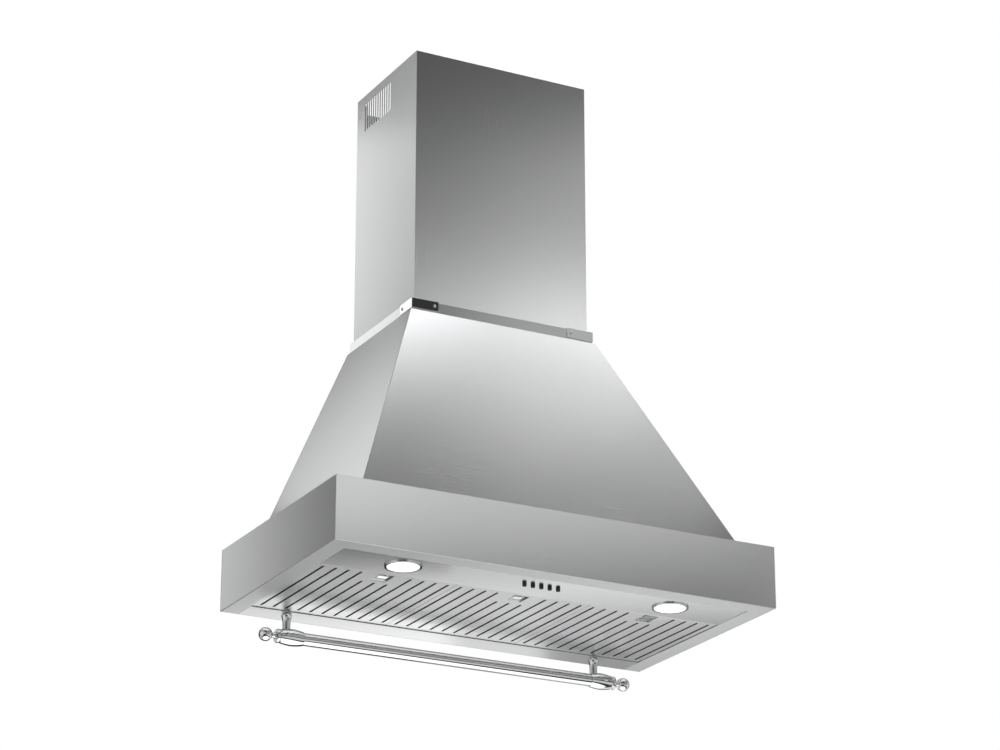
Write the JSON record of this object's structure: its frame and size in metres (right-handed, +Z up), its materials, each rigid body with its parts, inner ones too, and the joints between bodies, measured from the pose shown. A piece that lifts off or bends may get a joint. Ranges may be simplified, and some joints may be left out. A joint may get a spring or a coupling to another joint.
{
  "type": "wall mount range hood",
  "caption": "Skirted stainless canopy with a pyramid top and vented chimney cover, baffle filters on sliding latches, lamps, push buttons, a centrifugal blower and a utensil rail.",
  "frame": {"origin": "on the wall, at the middle of the four wall bolts", "axes": "+X right seen from the front, +Y into the wall, +Z up the chimney"},
  "size_m": [0.9, 0.5, 1.157],
  "materials": {
    "brushed_steel": "brushed",
    "filter_steel": "satin",
    "polished_steel": "polished",
    "galvanised": "matte",
    "fastener": "plated",
    "lens": "frosted",
    "lamp_body": "cast",
    "button_black": "gloss",
    "plastic_black": "matte",
    "wheel_plastic": "matte",
    "motor_steel": "satin",
    "shaft_steel": "ground",
    "flap_aluminium": "rolled"
  },
  "bodies": {
    "hood": {"canopy_skirt": "brushed_steel", "pyramid_shell": "brushed_steel", "collar": "brushed_steel", "chimney_cover": "brushed_steel", "underside_frame": "brushed_steel", "rear_strip": "brushed_steel", "lamp_panel": "brushed_steel", "rear_panel": "galvanised", "top_plate": "galvanised", "chimney_bracket": "galvanised", "scroll_wrapper": "galvanised", "inlet_plate_left": "galvanised", "inlet_plate_right": "galvanised", "motor_bracket": "galvanised", "corner_clip_left": "polished_steel", "corner_clip_right": "polished_steel", "lamp_bezel_left": "polished_steel", "lamp_bezel_right": "polished_steel", "rail_tube": "polished_steel", "rail_ferrule_left": "polished_steel", "rail_ferrule_right": "polished_steel", "rail_ball_left": "polished_steel", "rail_ball_right": "polished_steel", "rail_post_left": "polished_steel", "rail_post_right": "polished_steel", "clip_screws": "fastener", "chimney_screws": "fastener", "blower_screws": "fastener", "post_nuts": "fastener", "lamp_lens_left": "lens", "lamp_lens_right": "lens", "lamp_body_left": "lamp_body", "lamp_body_right": "lamp_body", "switch_block": "plastic_black", "electronics_box": "plastic_black", "duct_flange": "plastic_black", "duct_outlet": "plastic_black", "cable_gland": "plastic_black", "fan_motor": "motor_steel", "damper_rod": "shaft_steel"},
    "button_1": {"button_1": "button_black"},
    "button_2": {"button_2": "button_black"},
    "button_3": {"button_3": "button_black"},
    "button_4": {"button_4": "button_black"},
    "button_5": {"button_5": "button_black"},
    "filter_1": {"filter_tray_1": "filter_steel", "filter_baffles_1": "filter_steel"},
    "filter_2": {"filter_tray_2": "filter_steel", "filter_baffles_2": "filter_steel"},
    "filter_3": {"filter_tray_3": "filter_steel", "filter_baffles_3": "filter_steel"},
    "latch_1": {"filter_latch_1": "polished_steel"},
    "latch_2": {"filter_latch_2": "polished_steel"},
    "latch_3": {"filter_latch_3": "polished_steel"},
    "fan": {"fan_wheel": "wheel_plastic", "motor_shaft": "shaft_steel"},
    "flap_front": {"damper_flap_front": "flap_aluminium"},
    "flap_rear": {"damper_flap_rear": "flap_aluminium"}
  },
  "joints": [
    {"name": "button_1_press", "type": "slide", "parent": "hood", "child": "button_1", "axis": [0, 0, 1], "range_m": [0, 0.0025], "stiffness_N_per_m": 300, "springref_m": -0.002},
    {"name": "button_2_press", "type": "slide", "parent": "hood", "child": "button_2", "axis": [0, 0, 1], "range_m": [0, 0.0025], "stiffness_N_per_m": 300, "springref_m": -0.002},
    {"name": "button_3_press", "type": "slide", "parent": "hood", "child": "button_3", "axis": [0, 0, 1], "range_m": [0, 0.0025], "stiffness_N_per_m": 300, "springref_m": -0.002},
    {"name": "button_4_press", "type": "slide", "parent": "hood", "child": "button_4", "axis": [0, 0, 1], "range_m": [0, 0.0025], "stiffness_N_per_m": 300, "springref_m": -0.002},
    {"name": "button_5_press", "type": "slide", "parent": "hood", "child": "button_5", "axis": [0, 0, 1], "range_m": [0, 0.0025], "stiffness_N_per_m": 300, "springref_m": -0.002},
    {"name": "filter_1_drop", "type": "hinge", "parent": "hood", "child": "filter_1", "pos_m": [-0.2748, -0.0565, -0.3088], "axis": [1, 0, 0], "range_deg": [0, 50]},
    {"name": "filter_2_drop", "type": "hinge", "parent": "hood", "child": "filter_2", "pos_m": [0, -0.0565, -0.3088], "axis": [1, 0, 0], "range_deg": [0, 50]},
    {"name": "filter_3_drop", "type": "hinge", "parent": "hood", "child": "filter_3", "pos_m": [0.2748, -0.0565, -0.3088], "axis": [1, 0, 0], "range_deg": [0, 50]},
    {"name": "latch_1_slide", "type": "slide", "parent": "filter_1", "child": "latch_1", "axis": [0, 1, 0], "range_m": [0, 0.007], "stiffness_N_per_m": 400, "springref_m": -0.003},
    {"name": "latch_2_slide", "type": "slide", "parent": "filter_2", "child": "latch_2", "axis": [0, 1, 0], "range_m": [0, 0.007], "stiffness_N_per_m": 400, "springref_m": -0.003},
    {"name": "latch_3_slide", "type": "slide", "parent": "filter_3", "child": "latch_3", "axis": [0, 1, 0], "range_m": [0, 0.007], "stiffness_N_per_m": 400, "springref_m": -0.003},
    {"name": "fan_spin", "type": "hinge", "parent": "hood", "child": "fan", "pos_m": [0, -0.20275, 0.085], "axis": [1, 0, 0], "continuous": true},
    {"name": "flap_front_lift", "type": "hinge", "parent": "hood", "child": "flap_front", "pos_m": [0, -0.13275, 0.2682], "axis": [-1, 0, 0], "range_deg": [0, 75]},
    {"name": "flap_rear_lift", "type": "hinge", "parent": "hood", "child": "flap_rear", "pos_m": [0, -0.13275, 0.2682], "axis": [1, 0, 0], "range_deg": [0, 75]}
  ]
}
